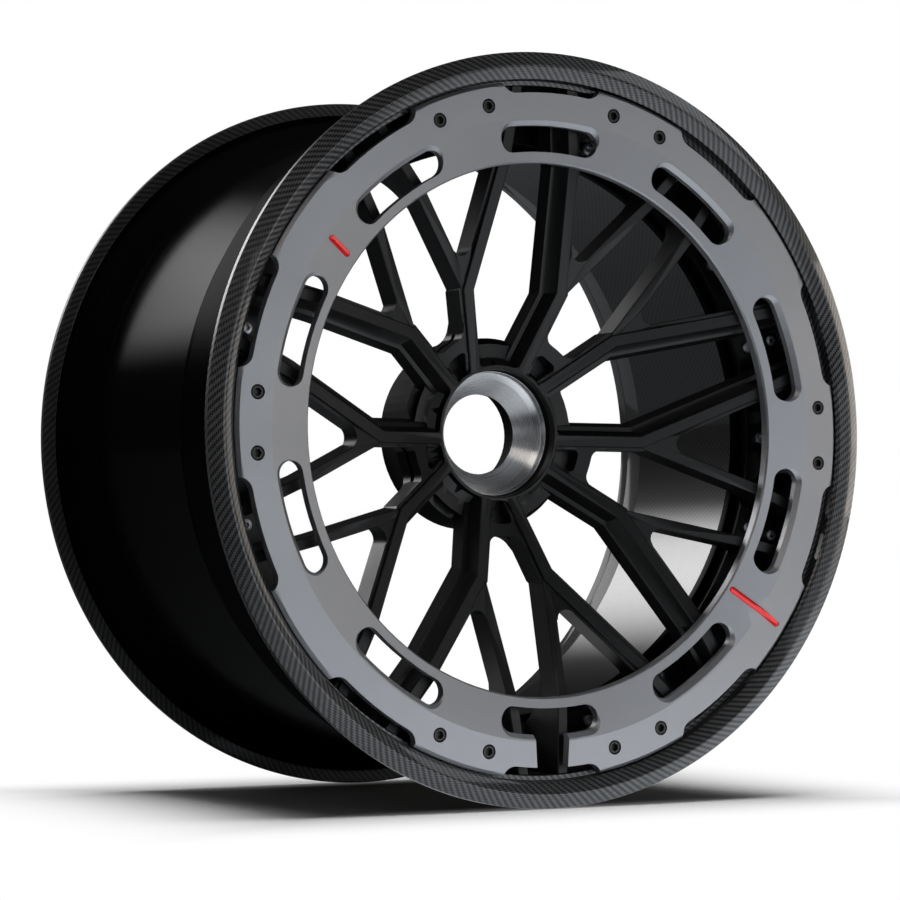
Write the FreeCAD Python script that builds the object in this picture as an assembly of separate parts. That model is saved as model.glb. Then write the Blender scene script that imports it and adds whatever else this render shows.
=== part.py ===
import FreeCAD
import Part
import math
import os

# Centre-lock road wheel in two main pieces: a moulded carbon barrel and a forged
# centre with paired, forked spokes.  A slotted face ring is screwed to lugs on the
# centre, and a turned cone for the lock nut sits in the hub.
#
# Every piece is drawn with the wheel axis on Z and the face of the wheel upwards,
# and is then turned so that the face looks along -Y and Z is up.  Depths are
# measured behind the plane of the front lip top.  All sizes are in millimetres.

Vector = FreeCAD.Vector
ORIGIN = Vector(0, 0, 0)
AXIS = Vector(0, 0, 1)

# Barrel
rim_radius = 286.4
rim_width = 323.5
bead_width = 304.8
bead_seat_radius = 269.1
bead_seat_length = 22.0
bead_seat_taper = 5.0
lip_crest_radius = 275.5
lip_crest_rise = 2.2
lip_facet_fall = 5.5
lip_opening_radius = 265.8
lip_back_bevel = 1.2
rear_opening_radius = 263.7
hump_height = 1.2
hump_length = 3.5
well_radius = 254.5
well_wall = 7.0
well_front_slope = 33.0
well_rear_margin = 59.5
well_rear_band = 14.0
well_ridge = 2.2
cup_wall = 5.2
flange_depth = 79.0
flange_thickness = 8.0
flange_bore_radius = 220.4
rebate_depth = 13.0
valve_hole_radius = 5.65
valve_hole_depth = 48.0

# Face ring
ring_clearance = 1.5
ring_inner_radius = 203.0
ring_crest_radius = 236.0
ring_face_depth = 2.0
ring_dish = 6.9
ring_thickness = 8.0
ring_outer_bevel = 2.6
ring_inner_bevel = 1.2
repeat_count = 10
slot_radius = 221.0
slot_half_width = 10.0
slot_half_angle = 8.4
slot_bevel_depth = 5.8
notch_depth = 8.8
notch_half_angle = 7.0
notch_end_radius = 11.0
gap_inner_half_width = 15.5
gap_outer_half_width = 13.0

# Ring screws and the lugs they hold on to
screw_circle_radius = 248.1
screw_pair_angle = 5.1
screw_lands = (0, 2, 3, 5, 7, 8)
screw_head_radius = 4.9
screw_head_clearance = 0.7
screw_head_height = 5.0
screw_shank_radius = 2.5
screw_grip = 12.0
screw_clearance = 0.3
lug_wall = 5.5

# Red inlays
bar_half_width = 2.4
bar_inlay = 1.6
bar_rise = 0.8
bar_clearance = 0.1
long_bar_angle = 324.0
long_bar_radii = (206.0, 256.5)
short_bar_angle = 144.0
short_bar_radii = (211.0, 233.0)

# Forged centre, spokes
pair_count = 5
first_pair_angle = 54.0
foot_radius = 51.0
foot_angle = 12.4
bend_radius = 116.0
bend_angle = 15.0
main_heading = 42.5
branch_heading = -4.9
crown_radius = 52.0
crown_depth = 82.0
knee_radius = 207.0
knee_depth = 20.5
tip_depth = 13.0
centre_clearance = 0.5
spoke_top_half_width = 4.6
spoke_edge_bevel = 0.7
spoke_height = 24.0
spoke_ledge_drop = 13.0
spoke_ledge_width = 3.4
spoke_draft = 0.31
fork_step = 2.6
fork_ledge_width = 2.6
branch_half_width = 4.3
branch_draft = 0.05
crotch_radius = 8.4
tip_web_half_width = 4.2
tip_web_start_radius = 186.0
tip_web_overlap = 12.0
tip_web_bow_out = 0.16
tip_web_bow_up = 0.12

# Forged centre, hub and bolting flange
hub_face_depth = 82.0
hub_ring_radius = 52.8
hub_mouth_radius = 50.2
hub_ring_bevel = 0.8
hub_neck_depth = 90.0
hub_apron_depth = 100.0
collar_radius = 64.0
collar_drop = 0.3
pocket_corner = 4.0
side_overlap = 0.5
pad_radius = 75.0
pad_depth = 142.0
pad_bevel = 4.0
pilot_radius = 39.6
hub_plate_inner_radius = 58.0
hub_plate_radius = 98.0
hub_plate_height = 9.0
window_reach = 130.0
open_window_start = 70.0
open_window_corner = 10.0
pair_window_start = 81.0
pair_window_corner = 8.5
web_inner_radius = 60.0
web_start_radius = 71.0
bolt_plate_thickness = 9.0
bolt_plate_inner_radius = 226.0
bolt_circle_radius = 236.6
bolt_count = 20
bolt_head_radius = 4.6
bolt_head_height = 3.6
driver_clearance = 1.0

# Lock-nut cone seat
seat_radius = 48.8
seat_clearance = 0.15
seat_edge_bevel = 0.3
seat_face_depth = 93.0
seat_lip_width = 0.6
seat_shoulder_radius = 46.9
seat_shoulder_depth = 97.6
seat_cone_radius = 43.0
seat_cone_depth = 101.4
seat_cone_end_depth = 114.6
seat_bore_radius = 31.5
seat_floor_depth = 118.0

# Sizes that follow from the ones above
pitch_angle = 360.0 / repeat_count
pair_pitch = 360.0 / pair_count
flange_wall_depth = (rim_width - bead_width) / 2
lip_edge_depth = lip_facet_fall - lip_crest_rise
seat_end_radius = bead_seat_radius - bead_seat_length * math.tan(math.radians(bead_seat_taper))
cup_radius = seat_end_radius - cup_wall
well_bore_radius = well_radius - well_wall
ring_outer_radius = lip_opening_radius - ring_clearance
ring_back_depth = ring_face_depth + ring_thickness
centre_radius = cup_radius - centre_clearance
bolt_face_depth = flange_depth - bolt_plate_thickness
crown_slope = (crown_depth - knee_depth) / (knee_radius - crown_radius)


def height(depth):
    """Height of a plane that lies this far behind the front lip top."""
    return rim_width / 2 - depth


def polar(radius, angle, level=0.0):
    """Point at a radius and an angle from +X, in degrees."""
    turn = math.radians(angle)
    return Vector(radius * math.cos(turn), radius * math.sin(turn), level)


def turned(profile):
    """Solid of revolution from (radius, depth) corners."""
    corners = [Vector(radius, 0, height(depth)) for radius, depth in profile]
    face = Part.Face(Part.makePolygon(corners + corners[:1]))
    return upright(face.revolve(ORIGIN, AXIS, 360))


def upright(solid):
    """The same solid with its faces pointing outwards."""
    if solid.Volume < 0:
        solid.reverse()
    return solid


def pillar(edges, top_depth, bottom_depth):
    """Upright prism between two depths from a closed chain of edges in the XY plane."""
    face = Part.Face(Part.Wire(edges))
    face.translate(Vector(0, 0, height(bottom_depth)))
    return face.extrude(Vector(0, 0, bottom_depth - top_depth))


def drum(radius, top_depth, bottom_depth, centre=ORIGIN):
    """Upright cylinder between two depths."""
    foot = Vector(centre.x, centre.y, height(bottom_depth))
    return Part.makeCylinder(radius, bottom_depth - top_depth, foot)


def chain(points):
    """Straight edges round a closed outline."""
    ends = points[1:] + points[:1]
    return [Part.LineSegment(start, end).toShape() for start, end in zip(points, ends)]


def arc(start, middle, end):
    """Edge of the circle through three points."""
    return Part.Arc(start, middle, end).toShape()


def line(start, end):
    """Straight edge between two points."""
    return Part.LineSegment(start, end).toShape()


def spun(solid, angle):
    """Copy turned about the wheel axis."""
    copy = solid.copy()
    copy.rotate(ORIGIN, AXIS, angle)
    return copy


def mirrored(solid):
    """Copy mirrored across the plane that holds the wheel axis and X."""
    return solid.mirror(ORIGIN, Vector(0, 1, 0))


def ring_of(solid, count, first_angle=0.0):
    """Evenly spaced copies about the wheel axis."""
    return [spun(solid, first_angle + step * 360.0 / count) for step in range(count)]


def save(name, shape):
    """Turn a finished piece so that the face of the wheel looks along -Y, and write it."""
    placed = shape.copy()
    placed.rotate(ORIGIN, Vector(1, 0, 0), 90)
    placed.exportStep("parts/" + name + ".step")


def make_barrel():
    """Moulded barrel: both lips, bead seats, well, and the flange that takes the centre."""
    seat_end_depth = flange_wall_depth + bead_seat_length
    hump_depth = seat_end_depth + hump_length
    ledge_end_depth = flange_depth + flange_thickness
    well_end_depth = rim_width - well_rear_margin
    rear_lip_depth = rim_width + lip_crest_rise
    rear_opening_depth = rim_width - lip_edge_depth
    profile = [
        (lip_opening_radius, lip_edge_depth),
        (lip_crest_radius, -lip_crest_rise),
        (rim_radius, lip_edge_depth),
        (rim_radius, flange_wall_depth - lip_back_bevel),
        (rim_radius - lip_back_bevel, flange_wall_depth),
        (bead_seat_radius, flange_wall_depth),
        (seat_end_radius, seat_end_depth),
        (seat_end_radius + hump_height, hump_depth),
        (seat_end_radius, ledge_end_depth),
        (well_radius, ledge_end_depth + well_front_slope),
        (well_radius, well_end_depth),
        (well_radius + well_ridge, well_end_depth + well_ridge),
        (well_radius + well_ridge, well_end_depth + well_rear_band),
        (seat_end_radius + hump_height, rim_width - hump_depth),
        (seat_end_radius, rim_width - seat_end_depth),
        (bead_seat_radius, rim_width - flange_wall_depth),
        (rim_radius - lip_back_bevel, rim_width - flange_wall_depth),
        (rim_radius, rim_width - flange_wall_depth + lip_back_bevel),
        (rim_radius, rear_opening_depth),
        (lip_crest_radius, rear_lip_depth),
        (rear_opening_radius, rear_opening_depth),
        (well_bore_radius, well_end_depth),
        (well_bore_radius, ledge_end_depth),
        (flange_bore_radius, ledge_end_depth),
        (flange_bore_radius, flange_depth),
        (cup_radius, flange_depth),
        (cup_radius, rebate_depth),
        (lip_opening_radius, rebate_depth),
    ]
    barrel = turned(profile)
    bolt_hole = drum(screw_shank_radius + screw_clearance, flange_depth, ledge_end_depth,
                     polar(bolt_circle_radius, 0))
    valve_reach = bead_seat_radius - flange_bore_radius
    valve_foot = Vector(0, -flange_bore_radius, height(valve_hole_depth))
    valve_hole = Part.makeCylinder(valve_hole_radius, valve_reach, valve_foot, Vector(0, -1, 0))
    return barrel.cut(ring_of(bolt_hole, bolt_count) + [valve_hole])


def ring_surface_depth(radius):
    """Depth of the ring's face: flat outside the crest, dished inside it."""
    inside = max(0.0, ring_crest_radius - radius)
    return ring_face_depth + inside * ring_dish / (ring_crest_radius - ring_inner_radius)


def ring_layer(rise, sink):
    """Full turn of the space from a rise above the ring's face to a sink below it."""
    inner = ring_inner_radius
    outer = ring_outer_radius
    crest = ring_crest_radius
    return turned([
        (inner, ring_surface_depth(inner) - rise),
        (crest, ring_face_depth - rise),
        (outer, ring_face_depth - rise),
        (outer, ring_face_depth + sink),
        (crest, ring_face_depth + sink),
        (inner, ring_surface_depth(inner) + sink),
    ])


def screw_places():
    """Angles of the ring screws: two on each land that carries them."""
    angles = []
    for land in screw_lands:
        middle = land * pitch_angle
        angles += [middle - screw_pair_angle, middle + screw_pair_angle]
    return angles


def slot_outline(margin):
    """Edges of one ring slot, centred on +X: a band along an arc with round ends."""
    half = slot_half_width + margin
    inner = slot_radius - half
    outer = slot_radius + half
    turn = slot_half_angle
    end_reach = math.degrees(half / slot_radius)
    return [
        arc(polar(inner, -turn), polar(inner, 0), polar(inner, turn)),
        arc(polar(inner, turn), polar(slot_radius, turn + end_reach), polar(outer, turn)),
        arc(polar(outer, turn), polar(outer, 0), polar(outer, -turn)),
        arc(polar(outer, -turn), polar(slot_radius, -turn - end_reach), polar(inner, -turn)),
    ]


def slot_tool(through_depth):
    """Cutter for one ring slot: straight through, and flared where it meets the face."""
    mouth = Part.Wire(slot_outline(slot_bevel_depth))
    mouth.translate(Vector(0, 0, height(0)))
    throat = Part.Wire(slot_outline(0.0))
    throat.translate(Vector(0, 0, height(slot_bevel_depth)))
    return pillar(slot_outline(0.0), 0, through_depth).fuse(loft([mouth, throat]))


def notch_tool(through_depth):
    """Cutter for one notch in the ring's outer edge: a floor arc with rounded ends."""
    floor = ring_outer_radius - notch_depth
    beyond = ring_outer_radius + notch_depth
    turn = notch_half_angle
    round_angle = math.degrees(notch_end_radius / floor)
    lift = notch_end_radius * (1 - math.sqrt(0.5))
    reach = round_angle * math.sqrt(0.5)
    mouth = turn + round_angle
    side = floor + notch_end_radius
    return pillar([
        arc(polar(floor, -turn), polar(floor, 0), polar(floor, turn)),
        arc(polar(floor, turn), polar(floor + lift, turn + reach), polar(side, mouth)),
        line(polar(side, mouth), polar(beyond, mouth)),
        arc(polar(beyond, mouth), polar(beyond, 0), polar(beyond, -mouth)),
        line(polar(beyond, -mouth), polar(side, -mouth)),
        arc(polar(side, -mouth), polar(floor + lift, -turn - reach), polar(floor, -turn)),
    ], 0, through_depth)


def make_face_ring():
    """Slotted ring with screw seats, edge notches and one open gap for the valve."""
    inner = ring_inner_radius
    outer = ring_outer_radius
    inner_depth = ring_surface_depth(inner)
    back_depth = inner_depth + ring_thickness
    ring = turned([
        (inner, inner_depth + ring_inner_bevel),
        (inner + ring_inner_bevel, ring_surface_depth(inner + ring_inner_bevel)),
        (ring_crest_radius, ring_face_depth),
        (outer - ring_outer_bevel, ring_face_depth),
        (outer, ring_face_depth + ring_outer_bevel),
        (outer, ring_back_depth),
        (ring_crest_radius, ring_back_depth),
        (inner, back_depth),
    ])
    half_pitch = pitch_angle / 2
    tools = ring_of(slot_tool(back_depth), repeat_count, half_pitch)
    tools += ring_of(notch_tool(back_depth), repeat_count, half_pitch)
    gap = pillar(chain([
        Vector(-gap_inner_half_width, -slot_radius, 0),
        Vector(-gap_outer_half_width, -outer, 0),
        Vector(gap_outer_half_width, -outer, 0),
        Vector(gap_inner_half_width, -slot_radius, 0),
    ]), 0, back_depth)
    tools.append(gap)
    for angle in screw_places():
        centre = polar(screw_circle_radius, angle)
        head_radius = screw_head_radius + screw_head_clearance
        tools.append(drum(head_radius, 0, ring_face_depth + screw_head_height, centre))
        tools.append(drum(screw_shank_radius + screw_clearance, 0, ring_back_depth, centre))
    pocket = ring_layer(bar_rise, bar_inlay)
    tools.append(pocket.common(bar_outline(long_bar_radii, long_bar_angle, bar_clearance)))
    tools.append(pocket.common(bar_outline(short_bar_radii, short_bar_angle, bar_clearance)))
    return ring.cut(tools)


def bar_outline(radii, angle, margin):
    """Upright pill along a radius, from the first radius to the second."""
    half = bar_half_width + margin
    start = radii[0] + bar_half_width
    end = radii[1] - bar_half_width
    pill = pillar([
        line(Vector(start, -half, 0), Vector(end, -half, 0)),
        arc(Vector(end, -half, 0), Vector(end + half, 0, 0), Vector(end, half, 0)),
        line(Vector(end, half, 0), Vector(start, half, 0)),
        arc(Vector(start, half, 0), Vector(start - half, 0, 0), Vector(start, -half, 0)),
    ], -ring_thickness, ring_surface_depth(ring_inner_radius) + ring_thickness)
    return spun(pill, angle)


def make_bar(radii, angle):
    """Red inlay: stands a little proud of the ring and follows its dished face."""
    return ring_layer(bar_rise, bar_inlay).common(bar_outline(radii, angle, 0.0))


def make_ring_screws():
    """Socket-head screws of the face ring."""
    seat_depth = ring_face_depth + screw_head_height
    tip_depth_here = ring_back_depth + screw_grip
    screws = []
    for angle in screw_places():
        centre = polar(screw_circle_radius, angle)
        head = drum(screw_head_radius, ring_face_depth, seat_depth, centre)
        shank = drum(screw_shank_radius, ring_face_depth, tip_depth_here, centre)
        screws.append(head.fuse(shank).removeSplitter())
    return Part.makeCompound(screws)


def make_flange_screws():
    """Screws that clamp the centre to the barrel flange."""
    head = drum(bolt_head_radius, bolt_face_depth - bolt_head_height, bolt_face_depth,
                polar(bolt_circle_radius, 0))
    shank = drum(screw_shank_radius, bolt_face_depth - bolt_head_height,
                 flange_depth + flange_thickness, polar(bolt_circle_radius, 0))
    return Part.makeCompound(ring_of(head.fuse(shank).removeSplitter(), bolt_count))


def spoke_depth(radius):
    """Depth of the spokes' top faces: a straight cone to the knee, then flatter to the tip."""
    if radius <= knee_radius:
        return crown_depth - crown_slope * (radius - crown_radius)
    tip_slope = (knee_depth - tip_depth) / (centre_radius - knee_radius)
    return knee_depth - tip_slope * (radius - knee_radius)


def heading_vector(heading):
    """Unit vector in the XY plane."""
    return polar(1.0, heading)


def run_to(start, heading, radius):
    """Point where a straight run from start meets a circle about the wheel axis."""
    step = heading_vector(heading)
    along = start.dot(step)
    reach = -along + math.sqrt(along ** 2 + radius ** 2 - start.dot(start))
    return start + step * reach


def station(point, side, depth, outline):
    """Closed section wire: outline corners are (sideways, below the top face)."""
    corners = [point + side * across + Vector(0, 0, height(depth + drop))
               for across, drop in outline]
    return Part.makePolygon(corners + corners[:1])


def main_section():
    """Stepped section of a main spoke: the positive side faces the open window."""
    top = spoke_top_half_width
    bevel = spoke_edge_bevel
    ledge = top + spoke_ledge_drop * spoke_draft
    shelf = ledge + spoke_ledge_width
    foot = shelf + (spoke_height - spoke_ledge_drop) * spoke_draft
    fork_edge = top + fork_ledge_width
    return [
        (-top + bevel, 0),
        (top - bevel, 0),
        (top, bevel),
        (ledge, spoke_ledge_drop),
        (shelf, spoke_ledge_drop + bevel),
        (foot, spoke_height),
        (-fork_edge, spoke_height),
        (-fork_edge, fork_step),
        (-top, fork_step),
        (-top, bevel),
    ]


def branch_section():
    """Plain drafted section of a branch spoke, one step below the main spokes."""
    half = branch_half_width
    bevel = spoke_edge_bevel
    foot = half + (spoke_height - fork_step) * branch_draft
    return [
        (-half + bevel, fork_step),
        (half - bevel, fork_step),
        (half, fork_step + bevel),
        (foot, spoke_height),
        (-foot, spoke_height),
        (-half, fork_step + bevel),
    ]


def loft(wires):
    """Ruled solid through a row of sections."""
    return upright(Part.makeLoft(wires, True, True))


def main_spoke():
    """One main spoke: foot at the hub, bend, knee under the ring, tip at the barrel."""
    foot = polar(foot_radius, foot_angle)
    bend = polar(bend_radius, bend_angle)
    stem = bend - foot
    stem.normalize()
    leg = heading_vector(main_heading)
    stem_side = Vector(-stem.y, stem.x, 0)
    leg_side = Vector(-leg.y, leg.x, 0)
    bend_side = (stem_side + leg_side) * (1 / (1 + stem_side.dot(leg_side)))
    knee = run_to(bend, main_heading, knee_radius)
    tip = run_to(bend, main_heading, cup_radius)
    outline = main_section()
    return loft([
        station(foot, stem_side, spoke_depth(foot_radius), outline),
        station(bend, bend_side, spoke_depth(bend_radius), outline),
        station(knee, leg_side, spoke_depth(knee_radius), outline),
        station(tip, leg_side, spoke_depth(cup_radius), outline),
    ])


def branch_spoke():
    """One branch: leaves the main spoke at its bend and runs beside the pair's axis."""
    bend = polar(bend_radius, bend_angle)
    run = heading_vector(branch_heading)
    side = Vector(-run.y, run.x, 0)
    knee = run_to(bend, branch_heading, knee_radius)
    tip = run_to(bend, branch_heading, cup_radius)
    outline = branch_section()
    return loft([
        station(bend, side, spoke_depth(bend_radius), outline),
        station(knee, side, spoke_depth(knee_radius), outline),
        station(tip, side, spoke_depth(cup_radius), outline),
    ])


def fork_web():
    """Web that rounds the crotch between a main spoke and its branch."""
    bend = polar(bend_radius, bend_angle)
    leg = heading_vector(main_heading)
    run = heading_vector(branch_heading)
    leg_inward = Vector(leg.y, -leg.x, 0)
    run_inward = Vector(-run.y, run.x, 0)
    leg_reach = spoke_top_half_width + fork_ledge_width + crotch_radius
    run_reach = branch_half_width + crotch_radius
    spread = leg.cross(run).Length
    centre = bend + leg * (run_reach / spread) + run * (leg_reach / spread)
    leg_touch = centre - leg_inward * crotch_radius
    run_touch = centre - run_inward * crotch_radius
    inward = bend - centre
    inward.normalize()
    crotch = centre + inward * crotch_radius
    outline = pillar([
        line(bend, leg_touch),
        arc(leg_touch, crotch, run_touch),
        line(run_touch, bend),
    ], 0, pad_depth)
    level = [
        bend + Vector(0, 0, height(spoke_depth(bend_radius) + fork_step)),
        run_to(bend, main_heading, knee_radius) + Vector(0, 0, height(knee_depth + fork_step)),
        run_to(bend, branch_heading, knee_radius) + Vector(0, 0, height(knee_depth + fork_step)),
    ]
    slab = Part.Face(Part.makePolygon(level + level[:1]))
    return outline.common(slab.extrude(Vector(0, 0, fork_step - spoke_height)))


def tip_web(heading):
    """Deep outer end of a spoke: a plate that curves down on to the bolting flange."""
    bend = polar(bend_radius, bend_angle)
    run = heading_vector(heading)
    side = Vector(-run.y, run.x, 0)
    start = run_to(bend, heading, tip_web_start_radius)
    foot = run_to(bend, heading, bolt_plate_inner_radius)
    end = run_to(bend, heading, cup_radius)
    start_low = start + Vector(0, 0, height(spoke_depth(tip_web_start_radius) + spoke_height))
    start_high = start_low + Vector(0, 0, tip_web_overlap)
    foot_low = foot + Vector(0, 0, height(bolt_face_depth))
    end_low = end + Vector(0, 0, height(bolt_face_depth))
    end_high = end + Vector(0, 0, height(spoke_depth(cup_radius) + spoke_height - tip_web_overlap))
    reach = (foot - start).Length
    bow = run * (reach * tip_web_bow_out) + Vector(0, 0, reach * tip_web_bow_up)
    hollow = (start_low + foot_low) * 0.5 + bow
    edges = [
        line(start_high, start_low),
        arc(start_low, hollow, foot_low),
        line(foot_low, end_low),
        line(end_low, end_high),
        line(end_high, start_high),
    ]
    plate = Part.Face(Part.Wire(edges))
    plate.translate(side * -tip_web_half_width)
    return plate.extrude(side * (2 * tip_web_half_width))


def stem_angle(radius, offset):
    """Angle from the pair's axis of a line beside a spoke's stem, where it meets a circle."""
    foot = polar(foot_radius, foot_angle)
    stem = polar(bend_radius, bend_angle) - foot
    heading = math.degrees(math.atan2(stem.y, stem.x))
    point = run_to(foot + heading_vector(heading + 90) * offset, heading, radius)
    return math.degrees(math.atan2(point.y, point.x))


def window(inner, outer, inner_turn, outer_turn, corner):
    """Upright cutter between two radii, about +X, with straight sides and round corners."""
    block = pillar([
        arc(polar(inner, -inner_turn), polar(inner, 0), polar(inner, inner_turn)),
        line(polar(inner, inner_turn), polar(outer, outer_turn)),
        arc(polar(outer, outer_turn), polar(outer, 0), polar(outer, -outer_turn)),
        line(polar(outer, -outer_turn), polar(inner, -inner_turn)),
    ], 0, pad_depth)
    uprights = [edge for edge in block.Edges if abs(edge.tangentAt(edge.FirstParameter).z) > 0.5]
    return block.makeFillet(corner, uprights)


def pair_window(inner, outer, side, corner):
    """Cutter inside a pair of spokes, with its sides this far from their middle lines."""
    return window(inner, outer, stem_angle(inner, -side), stem_angle(outer, -side), corner)


def open_window(inner, outer, side, corner):
    """Cutter between two pairs of spokes, with its sides this far from their middle lines."""
    half_pitch = pair_pitch / 2
    return window(inner, outer, half_pitch - stem_angle(inner, side),
                  half_pitch - stem_angle(outer, side), corner)


def ring_of_pairs(solid):
    """Copies on the axes of the spoke pairs."""
    return ring_of(solid, pair_count, first_pair_angle)


def ring_between_pairs(solid):
    """Copies half-way between the spoke pairs."""
    return ring_of(solid, pair_count, first_pair_angle + pair_pitch / 2)


def foot_collar():
    """Collar that joins the spoke feet at the hub, with a rounded pocket between each two."""
    collar = turned([
        (foot_radius, spoke_depth(foot_radius) + collar_drop),
        (collar_radius, spoke_depth(collar_radius) + collar_drop),
        (collar_radius, hub_apron_depth),
        (foot_radius, hub_apron_depth),
    ])
    side = spoke_top_half_width - side_overlap
    tools = ring_of_pairs(pair_window(hub_ring_radius, web_start_radius, side, pocket_corner))
    tools += ring_between_pairs(open_window(hub_ring_radius, web_start_radius, side, pocket_corner))
    return collar.cut(tools)


def hub_plate():
    """Plate under the spoke feet and bridges in the pairs, with the inner ends of all windows."""
    shelf = spoke_ledge_drop + spoke_edge_bevel
    inner = hub_plate_inner_radius
    outer = hub_plate_radius
    plate = turned([
        (inner, spoke_depth(inner) + shelf),
        (outer, spoke_depth(outer) + spoke_height - spoke_edge_bevel),
        (pad_radius, hub_apron_depth + hub_plate_height),
        (inner, hub_apron_depth + hub_plate_height),
    ])
    plate = plate.fuse(ring_of_pairs(pair_web()))
    open_side = spoke_top_half_width + spoke_ledge_drop * spoke_draft
    pair_side = spoke_top_half_width + fork_ledge_width - side_overlap
    tools = ring_of_pairs(pair_window(pair_window_start, window_reach, pair_side, pair_window_corner))
    tools += ring_between_pairs(open_window(open_window_start, window_reach, open_side,
                                            open_window_corner))
    return plate.cut(tools)


def pair_web():
    """Low bridge between the two spokes of a pair: a rounded pocket ends at it, a window begins."""
    top = fork_step
    under = spoke_ledge_drop + 2 * spoke_edge_bevel
    inner = web_inner_radius
    outer = hub_plate_radius
    layer = turned([
        (inner, spoke_depth(inner) + top),
        (outer, spoke_depth(outer) + top),
        (outer, spoke_depth(outer) + under),
        (inner, spoke_depth(inner) + under),
    ])
    wedge = pillar(chain([
        polar(foot_radius, foot_angle),
        polar(foot_radius, -foot_angle),
        polar(bend_radius, -bend_angle),
        polar(bend_radius, bend_angle),
    ]), 0, pad_depth)
    side = spoke_top_half_width + fork_ledge_width - side_overlap
    pocket = pair_window(hub_ring_radius, web_start_radius, side, pocket_corner)
    return layer.common(wedge).cut(pocket)


def make_hub():
    """Turned hub body: ring round the seat's mouth, apron, rear pad and pilot bore."""
    recess = seat_radius + seat_clearance
    return turned([
        (recess, seat_face_depth),
        (hub_mouth_radius, hub_face_depth + hub_ring_bevel),
        (hub_mouth_radius + hub_ring_bevel, hub_face_depth),
        (hub_ring_radius - hub_ring_bevel, hub_face_depth),
        (hub_ring_radius, hub_face_depth + hub_ring_bevel),
        (hub_ring_radius, hub_neck_depth),
        (pad_radius, hub_apron_depth),
        (pad_radius, pad_depth - pad_bevel),
        (pad_radius - pad_bevel, pad_depth),
        (pilot_radius, pad_depth),
        (pilot_radius, seat_floor_depth),
        (recess, seat_floor_depth),
    ])


def ring_lug(angle):
    """Lug on the bolting flange that carries one pair of ring screws."""
    half_turn = screw_pair_angle + math.degrees((screw_shank_radius + lug_wall) / screw_circle_radius)
    reach = screw_shank_radius + lug_wall
    inner = screw_circle_radius - reach
    outer = screw_circle_radius + reach
    block = pillar([
        arc(polar(inner, -half_turn), polar(inner, 0), polar(inner, half_turn)),
        line(polar(inner, half_turn), polar(outer, half_turn)),
        arc(polar(outer, half_turn), polar(outer, 0), polar(outer, -half_turn)),
        line(polar(outer, -half_turn), polar(inner, -half_turn)),
    ], ring_back_depth, bolt_face_depth + bolt_plate_thickness / 2)
    return spun(block, angle)


def make_centre():
    """Forged centre in one piece: hub, ten forked spokes, bolting flange and ring lugs."""
    half_pair = [main_spoke(), branch_spoke(), fork_web(), tip_web(main_heading),
                 tip_web(branch_heading)]
    pair = half_pair + [mirrored(solid) for solid in half_pair]
    spokes = pair[0].fuse(pair[1:])
    shell = drum(centre_radius, 0, pad_depth)
    spokes = spokes.common(shell)
    core = make_hub().fuse([hub_plate(), foot_collar()])
    flange = turned([
        (bolt_plate_inner_radius, bolt_face_depth),
        (centre_radius, bolt_face_depth),
        (centre_radius, flange_depth),
        (bolt_plate_inner_radius, flange_depth),
    ])
    lugs = [ring_lug(land * pitch_angle) for land in screw_lands]
    centre = core.fuse(ring_of_pairs(spokes) + [flange] + lugs)
    bolt_hole = drum(screw_shank_radius + screw_clearance, bolt_face_depth, flange_depth,
                     polar(bolt_circle_radius, 0))
    tools = ring_of(bolt_hole, bolt_count)
    driver_way = drum(bolt_head_radius + driver_clearance, ring_back_depth, bolt_face_depth,
                      polar(bolt_circle_radius, 0))
    tools += [spun(driver_way, land * pitch_angle) for land in screw_lands]
    hole_end = ring_back_depth + screw_grip + screw_clearance
    for angle in screw_places():
        tools.append(drum(screw_shank_radius + screw_clearance, ring_back_depth, hole_end,
                          polar(screw_circle_radius, angle)))
    tools.append(drum(seat_radius + seat_clearance, 0, seat_floor_depth))
    tools.append(drum(pilot_radius, seat_floor_depth, pad_depth))
    return centre.cut(tools).removeSplitter()


def make_lock_seat():
    """Turned cone for the centre-lock nut."""
    return turned([
        (seat_bore_radius, seat_cone_end_depth),
        (seat_cone_radius, seat_cone_depth),
        (seat_shoulder_radius, seat_shoulder_depth),
        (seat_radius - seat_lip_width, seat_face_depth),
        (seat_radius - seat_edge_bevel, seat_face_depth),
        (seat_radius, seat_face_depth + seat_edge_bevel),
        (seat_radius, seat_floor_depth),
        (seat_bore_radius, seat_floor_depth),
    ])


def main():
    os.makedirs("parts", exist_ok=True)
    save("barrel", make_barrel())
    save("forged_centre", make_centre())
    save("face_ring", make_face_ring())
    save("lock_seat", make_lock_seat())
    save("ring_screws", make_ring_screws())
    save("flange_screws", make_flange_screws())
    save("red_bar_long", make_bar(long_bar_radii, long_bar_angle))
    save("red_bar_short", make_bar(short_bar_radii, short_bar_angle))


main()
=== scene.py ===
import math

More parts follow.
